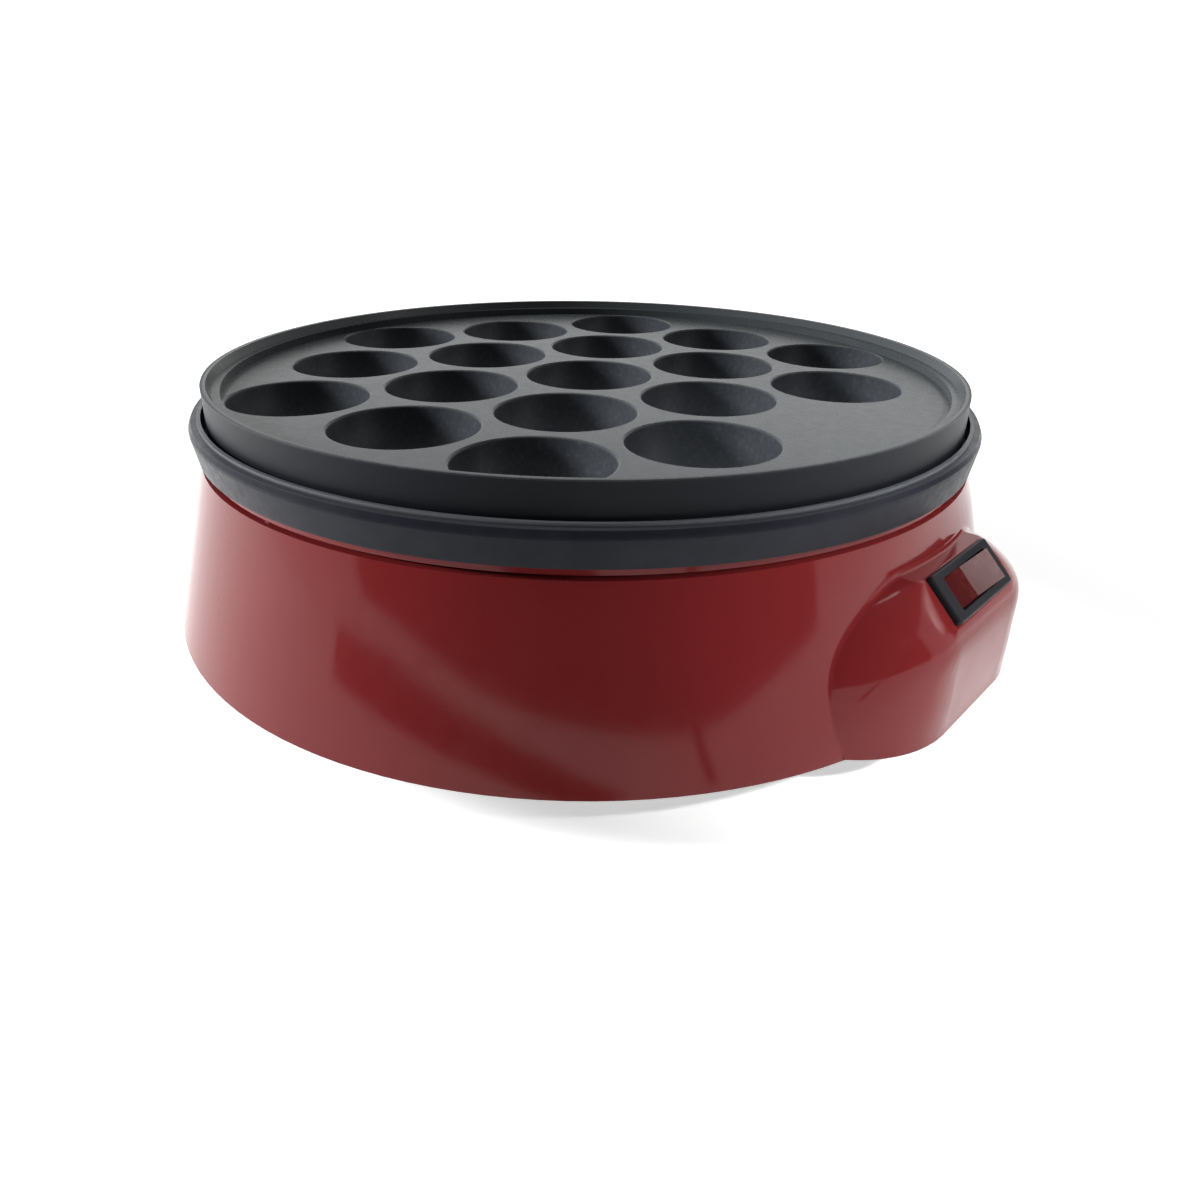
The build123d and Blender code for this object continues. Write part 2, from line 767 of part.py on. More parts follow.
with BuildPart() as pan:
    with BuildSketch(Plane.XZ):
        with BuildLine():
            Polyline(
                (0, pan_floor_level),
                (pan_radius - pan_sheet - pan_corner, pan_floor_level),
                (pan_radius - pan_sheet, pan_floor_level + pan_corner),
                (pan_radius - pan_sheet, pan_flange_level),
                (pan_radius + pan_flange_width, pan_flange_level),
                (pan_radius + pan_flange_width, pan_flange_level - pan_sheet),
                (pan_radius, pan_flange_level - pan_sheet),
                (pan_radius, pan_floor_level + pan_corner - pan_slant),
                (pan_radius - pan_sheet - pan_corner + pan_slant, pan_floor_level - pan_sheet),
                (0, pan_floor_level - pan_sheet),
                (0, pan_floor_level),
            )
        make_face()
    revolve(axis=Axis.Z)
    with BuildSketch(Plane.XY.offset(pan_floor_level)):
        with Locations(*stud_places):
            Circle(plate_screw_diameter / 2 + seat_gap)
    extrude(amount=-pan_sheet, mode=Mode.SUBTRACT)
    with BuildSketch(plate_plane(element_under - fit_gap)):
        with Locations(
            (-element_leg_spread / 2, -pan_radius), (element_leg_spread / 2, -pan_radius)
        ):
            Rectangle(element_tube + 4 * fit_gap, 4 * pan_flange_width)
    extrude(amount=pan_flange_level - element_under + overcut, mode=Mode.SUBTRACT)
save(pan, "reflector_pan")
save(
    screws(
        stud_places,
        pan_floor_level - pan_sheet,
        plate_screw_diameter,
        screw_head_diameter,
        screw_head_height,
        pan_sheet + screw_reach,
    ),
    "plate_screws",
)

# ---------------------------------------------------------------- heating element
leg = element_leg_spread / 2
bend_centre = sqrt((element_radius + element_bend) ** 2 - (leg + element_bend) ** 2)
ring_share = element_radius / (element_radius + element_bend)
ring_start = ((leg + element_bend) * ring_share, -bend_centre * ring_share)

with BuildPart() as element:
    with BuildLine(plate_plane(element_level)) as element_path:
        leg_in = Line((-leg, -element_leg_reach), (-leg, -bend_centre))
        bend_in = RadiusArc(leg_in @ 1, (-ring_start[0], ring_start[1]), -element_bend)
        ring = ThreePointArc(bend_in @ 1, (0, element_radius), ring_start)
        bend_out = RadiusArc(ring @ 1, (leg, -bend_centre), -element_bend)
        Line(bend_out @ 1, (leg, -element_leg_reach))
    with BuildSketch(Plane(origin=element_path.line @ 0, z_dir=element_path.line % 0)):
        Circle(element_tube / 2)
    sweep(path=element_path.line)
save(element, "heating_element")


def leg_plane(side, reach):
    """The plane at the end of a leg, facing outwards."""
    x, y = on_plate(side * leg, -reach)
    turn = radians(plate_turn)
    return Plane(
        origin=(x, y, element_level), x_dir=(cos(turn), sin(turn), 0), z_dir=(sin(turn), -cos(turn), 0)
    )


with BuildPart() as seals:
    for side in (-1, 1):
        with BuildSketch(leg_plane(side, element_leg_reach)):
            Circle(seal_diameter / 2)
            Circle(pin_diameter / 2, mode=Mode.SUBTRACT)
        extrude(amount=seal_length)
save(seals, "element_seals")

with BuildPart() as pins:
    for side in (-1, 1):
        with BuildSketch(leg_plane(side, element_leg_reach)):
            Circle(pin_diameter / 2)
        extrude(amount=seal_length + pin_length)
save(pins, "element_pins")

strap_top = element_under - fit_gap
hook_radius = element_radius + element_tube / 2 + fit_gap
strap_inner = post_circle - clamp_heel
strap_length = hook_radius + clamp_sheet - strap_inner

with BuildPart() as clamps:
    with BuildSketch(plate_plane(strap_top - clamp_sheet)):
        with PolarLocations(strap_inner + strap_length / 2, 3):
            Rectangle(strap_length, clamp_width)
        with PolarLocations(post_circle, 3):
            Circle(collar_screw_diameter / 2 + seat_gap, mode=Mode.SUBTRACT)
    extrude(amount=clamp_sheet)
    with BuildSketch(plate_plane(strap_top)):
        with PolarLocations(hook_radius + clamp_sheet / 2, 3):
            Rectangle(clamp_sheet, clamp_width)
    extrude(amount=clamp_hook)
save(clamps, "element_clamps")
save(
    screws(
        clamp_places,
        strap_top - clamp_sheet,
        collar_screw_diameter,
        collar_screw_head,
        screw_head_height,
        clamp_sheet + screw_reach - overcut,
    ),
    "clamp_screws",
)

# ---------------------------------------------------------------- thermostat
thermostat_base = thermostat_top - thermostat_height
strap_level = thermostat_top - thermostat_rim
thermostat_screw_places = [
    on_plate(side * thermostat_screw_pitch / 2, -2 * cup_pitch) for side in (-1, 1)
]

with BuildPart() as thermostat:
    with BuildSketch(Plane.XY.offset(thermostat_base)):
        with Locations(thermostat_place):
            Circle(thermostat_diameter / 2 - thermostat_step)
    extrude(amount=thermostat_height)
    with BuildSketch(Plane.XY.offset(strap_level)):
        with Locations(thermostat_place):
            Circle(thermostat_diameter / 2)
    extrude(amount=thermostat_rim)
save(thermostat, "thermostat")

with BuildPart() as blades:
    with BuildSketch(plate_plane(thermostat_base)):
        with Locations((-blade_offset, -2 * cup_pitch), (blade_offset, -2 * cup_pitch)):
            Rectangle(blade_thickness, blade_width)
    extrude(amount=-blade_length)
save(blades, "thermostat_blades")

with BuildPart() as strap:
    with BuildSketch(plate_plane(strap_level)):
        with Locations((0, -2 * cup_pitch)):
            SlotOverall(thermostat_flange, thermostat_diameter + 1)
            Circle(thermostat_diameter / 2 - thermostat_step + fit_gap, mode=Mode.SUBTRACT)
        with Locations(
            (-thermostat_screw_pitch / 2, -2 * cup_pitch),
            (thermostat_screw_pitch / 2, -2 * cup_pitch),
        ):
            Circle(thermostat_screw / 2 + seat_gap, mode=Mode.SUBTRACT)
    extrude(amount=-clamp_sheet)
save(strap, "thermostat_strap")
save(
    screws(
        thermostat_screw_places,
        strap_level - clamp_sheet,
        thermostat_screw,
        thermostat_screw_head,
        thermostat_head_height,
        clamp_sheet + thermostat_rim + thermostat_screw_reach,
    ),
    "thermostat_screws",
)

# ---------------------------------------------------------------- thermal fuse
fuse_axis_level = pan_floor_level + fuse_stand + fuse_diameter / 2
fuse_plane = Plane(
    origin=(fuse_place_x, fuse_place_y, fuse_axis_level), x_dir=(0, 1, 0), z_dir=(1, 0, 0)
)

with BuildPart() as fuse:
    with BuildSketch(fuse_plane.offset(-fuse_length / 2)):
        Circle(fuse_diameter / 2)
    extrude(amount=fuse_length)
    with BuildSketch(fuse_plane.offset(-fuse_length / 2 - fuse_wire_length)):
        Circle(fuse_wire / 2)
    extrude(amount=fuse_length + 2 * fuse_wire_length)
save(fuse, "thermal_fuse")

with BuildPart() as clip:
    with BuildSketch(Plane.XY.offset(pan_floor_level)):
        with Locations((fuse_place_x, fuse_place_y)):
            Rectangle(fuse_clip_length, fuse_clip_width)
    extrude(amount=fuse_stand + fuse_diameter + fuse_clip_roof)
    with BuildSketch(fuse_plane.offset(-fuse_clip_length)):
        Circle(fuse_diameter / 2 + seat_gap)
    extrude(amount=2 * fuse_clip_length, mode=Mode.SUBTRACT)
save(clip, "fuse_clip")

# ---------------------------------------------------------------- rocker switch
pivot_plane = facet_plane.offset(-pivot_depth)
slope_up = Vector(0, cos(radians(facet_angle)), sin(radians(facet_angle)))
pivot_axis = Axis(pivot_plane.origin, slope_up)
terminal_places = [(-terminal_pitch, 0), (0, 0), (terminal_pitch, 0)]
lamp_saddle = barrel_depth - barrel_floor - lamp_depth - lamp_diameter / 2 - fit_gap
lamp_plane = Plane(
    origin=facet_plane.origin + Vector(-terminal_pitch, 0, 0) - facet_plane.z_dir * lamp_depth,
    z_dir=slope_up,
)

with BuildPart() as housing:
    with BuildSketch(facet_plane):
        RectangleRounded(bezel_length, bezel_width, bezel_corner)
    extrude(amount=bezel_thickness)
    bezel_face = housing.faces().sort_by(Axis(facet_plane.origin, facet_plane.z_dir))[-1]
    fillet(bezel_face.edges(), bezel_rounding)
    with BuildSketch(facet_plane):
        Rectangle(barrel_length, barrel_width)
    extrude(amount=-barrel_depth)
    with BuildSketch(facet_plane.offset(bezel_thickness)):
        Rectangle(window_length, window_width)
    extrude(amount=-bezel_thickness - barrel_depth + barrel_floor, mode=Mode.SUBTRACT)
    with BuildSketch(Plane(origin=pivot_plane.origin - slope_up * (barrel_width / 2), z_dir=slope_up)):
        Circle(pivot_diameter / 2 + pivot_gap)
    extrude(amount=barrel_width, mode=Mode.SUBTRACT)
    with BuildSketch(facet_plane.offset(barrel_floor - barrel_depth)):
        with Locations((-terminal_pitch, 0)):
            Rectangle(saddle_width, saddle_length)
    extrude(amount=lamp_saddle)
    with BuildSketch(facet_plane.offset(-barrel_depth)):
        with Locations(*terminal_places):
            Rectangle(blade_thickness + 2 * seat_gap, blade_width + 2 * seat_gap)
    extrude(amount=barrel_floor, mode=Mode.SUBTRACT)
save(housing, "switch_housing")

with BuildPart() as lamp:
    with BuildSketch(lamp_plane):
        Circle(lamp_diameter / 2)
    extrude(amount=lamp_length / 2, both=True)
    fillet(lamp.edges(), lamp_diameter / 2 - seat_gap)
save(lamp, "switch_lamp")

# the rocker is drawn level about its pivot and then tipped to its rest
crest = rocker_crease + rocker_length / 2 * sin(radians(rocker_angle))
rocker_plane = Plane(
    origin=pivot_plane.origin, x_dir=(1, 0, 0), z_dir=(-slope_up.X, -slope_up.Y, -slope_up.Z)
)
half = rocker_length / 2

with BuildPart() as rocker:
    with BuildSketch(rocker_plane):
        with BuildLine():
            Polyline(
                (-half, -rocker_skirt),
                (-half, crest),
                (0, rocker_crease),
                (half, crest),
                (half, -rocker_skirt),
                (-half, -rocker_skirt),
            )
        make_face()
    extrude(amount=rocker_width / 2, both=True)
    with BuildSketch(rocker_plane):
        with BuildLine():
            Polyline(
                (rocker_skin - half, -rocker_skirt - overcut),
                (rocker_skin - half, crest - rocker_skin),
                (0, rocker_crease - rocker_skin),
                (half - rocker_skin, crest - rocker_skin),
                (half - rocker_skin, -rocker_skirt - overcut),
                (rocker_skin - half, -rocker_skirt - overcut),
            )
        make_face()
    extrude(amount=rocker_width / 2 - rocker_skin, both=True, mode=Mode.SUBTRACT)
    with BuildSketch(rocker_plane):
        Circle(pivot_diameter / 2)
    extrude(amount=barrel_width / 2, both=True)
    with BuildSketch(pivot_plane.offset(rocker_crease - rocker_skin / 2)):
        Circle(plunger_sleeve / 2)
    extrude(amount=-rocker_crease + rocker_skin / 2 - sleeve_end)
    with BuildSketch(pivot_plane.offset(rocker_crease - rocker_skin)):
        Circle(plunger_diameter / 2 + pivot_gap)
    extrude(amount=-rocker_crease + rocker_skin - sleeve_end - overcut, mode=Mode.SUBTRACT)
rocker.part = rocker.part.rotate(pivot_axis, -rocker_angle)
save(rocker, "switch_rocker")

with BuildPart() as plunger:
    with BuildSketch(pivot_plane.offset(-plunger_head)):
        Circle(plunger_diameter / 2)
    extrude(amount=plunger_head - plunger_tip)
    fillet(
        plunger.edges().sort_by(Axis(pivot_plane.origin, pivot_plane.z_dir))[0],
        plunger_diameter / 2 - pivot_gap,
    )
plunger.part = plunger.part.rotate(pivot_axis, -rocker_angle)
save(plunger, "rocker_plunger")

spring_length = rocker_crease - rocker_skin + plunger_head - 2 * spring_wire
spring_radius = plunger_diameter / 2 - spring_wire / 2 - seat_gap
with BuildPart() as spring:
    spring_start = pivot_plane.offset(spring_wire - plunger_head)
    with BuildLine():
        coil = Helix(
            pitch=spring_length / spring_turns,
            height=spring_length,
            radius=spring_radius,
            center=spring_start.origin,
            direction=spring_start.z_dir,
        )
    with BuildSketch(Plane(origin=coil @ 0, z_dir=coil % 0)):
        Circle(spring_wire / 2)
    sweep(path=coil, is_frenet=True)
spring.part = spring.part.rotate(pivot_axis, -rocker_angle)
save(spring, "plunger_spring")

arm_origin = facet_plane.origin - facet_plane.z_dir * arm_depth
arm_plane = Plane(
    origin=arm_origin, x_dir=(1, 0, 0), z_dir=(-slope_up.X, -slope_up.Y, -slope_up.Z)
)
rivet_place = arm_length / 2 - rivet_inset
with BuildPart() as arm:
    with BuildSketch(arm_plane):
        Rectangle(arm_length, arm_sheet)
    extrude(amount=arm_width / 2, both=True)
    with BuildSketch(Plane(origin=arm_origin, x_dir=(1, 0, 0), z_dir=facet_plane.z_dir)):
        with Locations((-rivet_place, 0), (rivet_place, 0)):
            Circle(rivet_diameter / 2)
    extrude(amount=-arm_sheet / 2 - rivet_height)
arm.part = arm.part.rotate(Axis(arm_origin, slope_up), arm_tilt)
save(arm, "contact_arm")

fulcrum_depth = arm_depth + arm_sheet / 2 + seat_gap
contact_depth = barrel_depth - barrel_floor - contact_rise
terminal_tip = barrel_depth + terminal_length
with BuildPart() as terminals:
    with BuildSketch(facet_plane.offset(-terminal_tip)):
        Rectangle(blade_thickness, blade_width)
    extrude(amount=terminal_tip - fulcrum_depth)
    with BuildSketch(facet_plane.offset(-terminal_tip)):
        with Locations((-terminal_pitch, 0), (terminal_pitch, 0)):
            Rectangle(blade_thickness, blade_width)
    extrude(amount=terminal_tip - contact_depth - contact_sheet)
    with BuildSketch(facet_plane.offset(-contact_depth - contact_sheet)):
        with Locations(((terminal_pitch + rivet_place) / 2, 0)):
            Rectangle(terminal_pitch - rivet_place + rivet_diameter, blade_width)
    extrude(amount=contact_sheet)
save(terminals, "switch_terminals")

# ---------------------------------------------------------------- cord bush and clamp
bush_inner = bush_seat - bush_pad_wall - bush_lip
bush_face = bush_seat + bush_flange_thickness

with BuildPart() as bush:
    with BuildSketch(Plane.YZ):
        with BuildLine():
            Polyline(
                (bush_inner, bush_level + bush_bore / 2),
                (bush_inner, bush_level + bush_flange / 2 - bush_chamfer),
                (bush_seat - bush_pad_wall, bush_level + bush_flange / 2),
                (bush_seat - bush_pad_wall, bush_level + bush_neck / 2),
                (bush_seat, bush_level + bush_neck / 2),
                (bush_seat, bush_level + bush_flange / 2),
                (bush_face - bush_chamfer, bush_level + bush_flange / 2),
                (bush_face, bush_level + bush_flange / 2 - bush_chamfer),
                (bush_face, bush_level + bush_neck / 2),
                (bush_face + bush_cone, bush_level + bush_bore / 2 + bush_nose_wall),
                (bush_face + bush_cone, bush_level + bush_bore / 2),
                (bush_inner, bush_level + bush_bore / 2),
            )
        make_face()
    revolve(axis=Axis((0, 0, bush_level), (0, 1, 0)))
save(bush, "cord_bush")

clamp_screw_places = [
    (side * clamp_screw_place, cord_clamp_radius) for side in (-1, 1)
]
with BuildPart() as bar:
    with BuildSketch(Plane.XY.offset(bush_level)):
        with Locations((0, cord_clamp_radius)):
            Rectangle(cord_clamp_width, cord_clamp_depth)
    extrude(amount=cord_clamp_bar)
    fillet(bar.edges().filter_by(Axis.Z), cord_clamp_corner)
    with BuildSketch(Plane.XZ.offset(-cord_clamp_radius - cord_clamp_depth)):
        with Locations((0, bush_level)):
            Circle(cord_groove / 2)
    extrude(amount=3 * cord_clamp_depth, mode=Mode.SUBTRACT)
    with BuildSketch(Plane.XY.offset(bush_level)):
        with Locations(*clamp_screw_places):
            Circle(collar_screw_diameter / 2 + seat_gap)
    extrude(amount=cord_clamp_bar, mode=Mode.SUBTRACT)
save(bar, "cord_clamp")
save(
    screws(
        clamp_screw_places,
        clamp_top,
        collar_screw_diameter,
        collar_screw_head,
        screw_head_height,
        cord_clamp_bar + screw_reach - overcut,
        up=-1,
    ),
    "cord_clamp_screws",
)

# ---------------------------------------------------------------- terminal block
pole_places = [(index - (block_poles - 1) / 2) * block_pitch for index in range(block_poles)]
pole_level = cover_top + block_height / 2
insert_length = block_depth - 2 * insert_setback
mount_screw_places = [(-block_pitch / 2, block_radius), (block_pitch / 2, block_radius)]
block_front = block_radius - block_depth / 2
pole_screw_places = [
    (x, block_radius + side * block_screw_pitch / 2) for x in pole_places for side in (-1, 1)
]

with BuildPart() as block:
    with BuildSketch(Plane.XY.offset(cover_top)):
        with Locations((0, block_radius)):
            Rectangle(block_length, block_depth)
    extrude(amount=block_height)
    fillet(block.edges().group_by(Axis.Z)[-1], block_corner)
    with BuildSketch(Plane.XZ.offset(-block_radius - block_depth / 2)):
        with Locations(*[(x, pole_level) for x in pole_places]):
            Circle(block_bore / 2)
    extrude(amount=block_depth, mode=Mode.SUBTRACT)
    with BuildSketch(Plane.XY.offset(pole_level)):
        with Locations(*pole_screw_places):
            Circle(block_screw_well / 2)
    extrude(amount=block_height, mode=Mode.SUBTRACT)
    with BuildSketch(Plane.XY.offset(cover_top)):
        with Locations(*mount_screw_places):
            Circle(block_mount_hole / 2 + seat_gap)
    extrude(amount=screw_reach, mode=Mode.SUBTRACT)
save(block, "terminal_block")

with BuildPart() as inserts:
    with BuildSketch(Plane.XZ.offset(-block_radius - insert_length / 2)):
        with Locations(*[(x, pole_level) for x in pole_places]):
            Circle(block_bore / 2 - seat_gap)
            Circle(block_bore / 2 - seat_gap - insert_wall, mode=Mode.SUBTRACT)
    extrude(amount=insert_length)
save(inserts, "terminal_inserts")
save(
    screws(
        pole_screw_places,
        cover_top + block_height - block_screw_drop,
        block_screw,
        block_screw_head,
        block_screw_head_height,
        block_height / 2 - block_screw_drop - block_bore / 2,
        up=-1,
    ),
    "terminal_screws",
)

# ---------------------------------------------------------------- internal leads
def lead(points):
    """A round wire along straight runs and tangent arcs, each as large as its runs allow."""
    runs = [Vector(*end) - Vector(*begin) for begin, end in zip(points, points[1:])]
    radii = []
    for before, after in zip(runs, runs[1:]):
        turn = radians(before.get_angle(after))
        shorter = min(before.length, after.length)
        radii.append(min(lead_bend, lead_bend_share * shorter / tan(turn / 2)))
    with BuildPart() as wire:
        with BuildLine():
            path = FilletPolyline(*points, radius=radii)
        with BuildSketch(Plane(origin=path @ 0, z_dir=path % 0)):
            Circle(lead_diameter / 2)
        sweep(path=path)
    return wire.part


def tab_end(x):
    """End of a switch terminal, in the drum's frame."""
    end = facet_plane.origin - facet_plane.z_dir * terminal_tip
    return (x, end.Y, end.Z)


def past_tab(x, run):
    """A point further along the same terminal."""
    end = facet_plane.origin - facet_plane.z_dir * (terminal_tip + run)
    return (x, end.Y, end.Z)


def beside(point, right, back, up):
    """A point set off from another one."""
    return (point[0] + right, point[1] + back, point[2] + up)


def tab_boot(x):
    """The push-on boot around a switch terminal's end."""
    with BuildPart() as boot:
        with BuildSketch(facet_plane.offset(-terminal_tip - boot_roof)):
            with Locations((x, 0)):
                Rectangle(boot_thickness, boot_width)
        extrude(amount=boot_length)
        with BuildSketch(facet_plane.offset(-terminal_tip)):
            with Locations((x, 0)):
                Rectangle(blade_thickness + 2 * seat_gap, blade_width + 2 * seat_gap)
        extrude(amount=boot_length, mode=Mode.SUBTRACT)
    return boot.part


def pin_end(side):
    """Middle of the crimped sleeve on an element pin."""
    reach = element_leg_reach + seal_length + pin_length - pin_sleeve_length / 2
    return on_plate(side * leg, -reach)


def pin_crimp(side):
    """The crimped sleeve around an element pin."""
    with BuildPart() as crimp:
        start = element_leg_reach + seal_length + pin_length - pin_sleeve_length
        with BuildSketch(leg_plane(side, start)):
            Rectangle(pin_sleeve, pin_sleeve)
            Circle(pin_diameter / 2 + seat_gap, mode=Mode.SUBTRACT)
        extrude(amount=pin_sleeve_length)
    return crimp.part


crimp_under = element_level - pin_sleeve / 2 + seat_gap
right_pin = (*pin_end(1), crimp_under)
left_pin = (*pin_end(-1), crimp_under)
pole_entry = block_front + insert_setback + pin_sleeve
boot_end = boot_roof / 2
tab_turn = (tab_end(0)[2] - lead_level) / sin(radians(facet_angle)) - lead_diameter

with BuildPart() as lead_live:
    add(
        lead(
            [
                (0, pole_entry, pole_level),
                (0, block_front - live_run, pole_level),
                (live_back_x, live_back_y, lead_level),
                (-live_front_x, -live_front_y, lead_level),
                past_tab(0, tab_turn),
                past_tab(0, boot_end),
            ]
        )
    )
    add(tab_boot(0))
save(lead_live, "lead_live")

heater_tab = tab_end(terminal_pitch)
with BuildPart() as lead_heater:
    add(
        lead(
            [
                right_pin,
                beside(right_pin, heater_shift, heater_back, -heater_drop),
                beside(heater_tab, heater_high_x, heater_high_y, heater_high_z),
                beside(heater_tab, heater_low_x, heater_low_y, -heater_low_z),
                past_tab(terminal_pitch, heater_run),
                past_tab(terminal_pitch, boot_end),
            ]
        )
    )
    add(tab_boot(terminal_pitch))
    add(pin_crimp(1))
save(lead_heater, "lead_heater")

with BuildPart() as lead_neutral:
    add(
        lead(
            [
                left_pin,
                beside(left_pin, -neutral_shift, neutral_back, -neutral_drop),
                beside(left_pin, -neutral_low_x, neutral_low_y, -neutral_low_z),
                (-neutral_floor_x, -neutral_floor_y, lead_level),
                (-block_pitch, block_front - neutral_run, pole_level - neutral_sag),
                (-block_pitch, pole_entry, pole_level),
            ]
        )
    )
    add(pin_crimp(-1))
save(lead_neutral, "lead_neutral")

with BuildPart() as earth_tab:
    with BuildSketch(Plane.XY.offset(pan_floor_level - pan_sheet)):
        with Locations((earth_x, earth_y)):
            Rectangle(blade_thickness, blade_width)
    extrude(amount=-earth_blade)
save(earth_tab, "earth_tab")

earth_end = (earth_x, earth_y, pan_floor_level - pan_sheet - earth_blade)
with BuildPart() as lead_earth:
    add(
        lead(
            [
                beside(earth_end, 0, 0, -boot_end),
                beside(earth_end, 0, earth_back, -earth_drop),
                (earth_floor_x, earth_floor_y, lead_level),
                (block_pitch, block_front - earth_run, pole_level),
                (block_pitch, pole_entry, pole_level),
            ]
        )
    )
    with BuildSketch(Plane.XY.offset(earth_end[2] - boot_roof)):
        with Locations((earth_x, earth_y)):
            Rectangle(boot_thickness, boot_width)
    extrude(amount=boot_length)
    with BuildSketch(Plane.XY.offset(earth_end[2])):
        with Locations((earth_x, earth_y)):
            Rectangle(blade_thickness + 2 * seat_gap, blade_width + 2 * seat_gap)
    extrude(amount=boot_length, mode=Mode.SUBTRACT)
save(lead_earth, "lead_earth")
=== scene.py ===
"""Looks of the electric takoyaki maker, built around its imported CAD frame.

Metres, +Z up, in the frame of the CAD part: the counter is z = 0, the drum's axis is x = y = 0
and the rocker switch faces -Y.
"""
import math

import bmesh
import bpy
from mathutils import Matrix, Vector


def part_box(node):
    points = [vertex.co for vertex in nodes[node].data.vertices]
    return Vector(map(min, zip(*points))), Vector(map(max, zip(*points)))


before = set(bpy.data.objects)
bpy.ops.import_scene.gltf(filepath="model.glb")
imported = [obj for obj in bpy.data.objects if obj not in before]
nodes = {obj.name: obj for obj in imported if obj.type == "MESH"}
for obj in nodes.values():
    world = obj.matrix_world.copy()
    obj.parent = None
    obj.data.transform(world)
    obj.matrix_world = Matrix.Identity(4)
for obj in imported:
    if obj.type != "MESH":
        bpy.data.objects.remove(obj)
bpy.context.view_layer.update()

MM = 0.001
COLLAR_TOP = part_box("collar_ring")[1][2]
PLATE_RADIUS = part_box("baking_plate")[1][0]
PLATE_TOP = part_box("baking_plate")[1][2]
RIM_HEIGHT = 4.9 * MM           # plate's rim above its cooking face
COOK_LEVEL = PLATE_TOP - RIM_HEIGHT
scene = bpy.context.scene

# ---------------------------------------------------------------- camera
PICTURE = 1200.0                # side of the picture in pixels
SENSOR = 36.0
FOCAL_PIXELS = 927.2
PRINCIPAL_X = 607.7
CAMERA_AZIMUTH = math.radians(-49.64)
CAMERA_ELEVATION = math.radians(26.69)
CAMERA_ROLL = math.radians(1.10)
CAMERA_PLACE = Vector((-228.3, -203.9, 150.9)) * MM


def make_camera():
    """The camera at the picture's viewing angle."""
    data = bpy.data.cameras.new("camera")
    data.sensor_width = SENSOR
    data.lens = FOCAL_PIXELS / PICTURE * SENSOR
    data.shift_x = (PICTURE / 2 - PRINCIPAL_X) / PICTURE
    data.clip_start = 0.01
    camera = bpy.data.objects.new("camera", data)
    scene.collection.objects.link(camera)
    back = Vector((
        math.sin(CAMERA_AZIMUTH) * math.cos(CAMERA_ELEVATION),
        -math.cos(CAMERA_AZIMUTH) * math.cos(CAMERA_ELEVATION),
        math.sin(CAMERA_ELEVATION),
    ))
    level = Vector((0, 0, 1)).cross(back).normalized()
    upright = back.cross(level)
    right = level * math.cos(CAMERA_ROLL) + upright * math.sin(CAMERA_ROLL)
    up = upright * math.cos(CAMERA_ROLL) - level * math.sin(CAMERA_ROLL)
    turn = Matrix((right, up, back)).transposed().to_4x4()
    camera.matrix_world = Matrix.Translation(CAMERA_PLACE) @ turn
    scene.camera = camera


